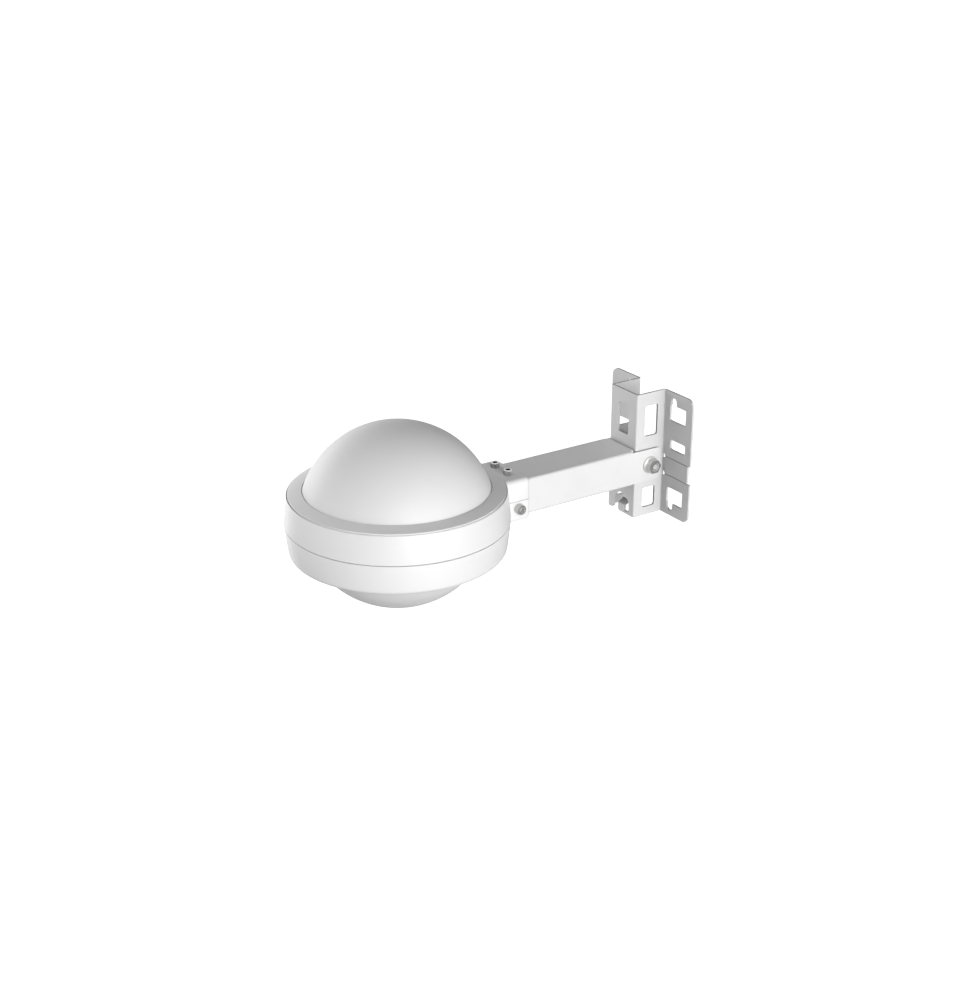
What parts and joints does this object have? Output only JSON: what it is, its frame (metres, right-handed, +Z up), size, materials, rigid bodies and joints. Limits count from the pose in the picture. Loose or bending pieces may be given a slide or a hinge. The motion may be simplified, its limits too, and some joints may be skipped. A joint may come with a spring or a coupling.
{
  "type": "dome antenna on bracket arm",
  "caption": "Weatherproof radio antenna: a round housing with an upper and a lower dome, on a box-section arm that tilts on a folded wall bracket.",
  "frame": {"origin": "on the wall plane at the back of the bracket, on the centre plane, level with the split line of the dome housing, 0.6 mm above the pivot bolt's axis", "axes": "+Z up, +Y into the wall, so the dome stands off towards -Y; +X to the right seen from the dome side looking at the wall"},
  "size_m": [0.2096, 0.4025, 0.1741],
  "materials": {
    "radome": "matte",
    "housing": "gloss",
    "bracket_paint": "satin",
    "arm_paint": "satin",
    "zinc_steel": "satin",
    "seal_rubber": "matte",
    "clamp_plastic": "matte",
    "cast_aluminium": "satin",
    "circuit_board": "satin",
    "pad": "matte",
    "brass_gold": "satin",
    "nylon": "matte"
  },
  "bodies": {
    "bracket": {"wall_bracket": "bracket_paint", "pivot_bolt": "zinc_steel", "pivot_nut": "zinc_steel"},
    "arm": {"radome_top": "radome", "radome_bottom": "radome", "upper_housing": "housing", "lower_housing": "housing", "dome_seal_top": "seal_rubber", "dome_seal_bottom": "seal_rubber", "clamp_ring_top": "clamp_plastic", "clamp_ring_bottom": "clamp_plastic", "clamp_ring_screws": "zinc_steel", "housing_gasket": "seal_rubber", "housing_screws": "zinc_steel", "chassis_plate": "cast_aluminium", "chassis_screws": "zinc_steel", "heat_spreader": "cast_aluminium", "thermal_pad": "pad", "main_board": "circuit_board", "shield_cans": "zinc_steel", "network_jack": "zinc_steel", "board_standoffs": "brass_gold", "board_screws": "zinc_steel", "upper_reflector": "cast_aluminium", "reflector_posts": "nylon", "upper_antennas": "brass_gold", "lower_antenna_board": "circuit_board", "lower_board_posts": "nylon", "lower_antennas": "brass_gold", "cable_grommet": "seal_rubber", "vent_plug": "seal_rubber", "neck_top_screws": "zinc_steel", "neck_side_screws": "zinc_steel", "arm_tube": "arm_paint", "arm_nuts": "zinc_steel"}
  },
  "joints": [
    {"name": "arm_tilt", "type": "hinge", "parent": "bracket", "child": "arm", "pos_m": [0, -0.0194, -0.0006], "axis": [1, 0, 0], "range_deg": [-4.5, 4.5]}
  ]
}
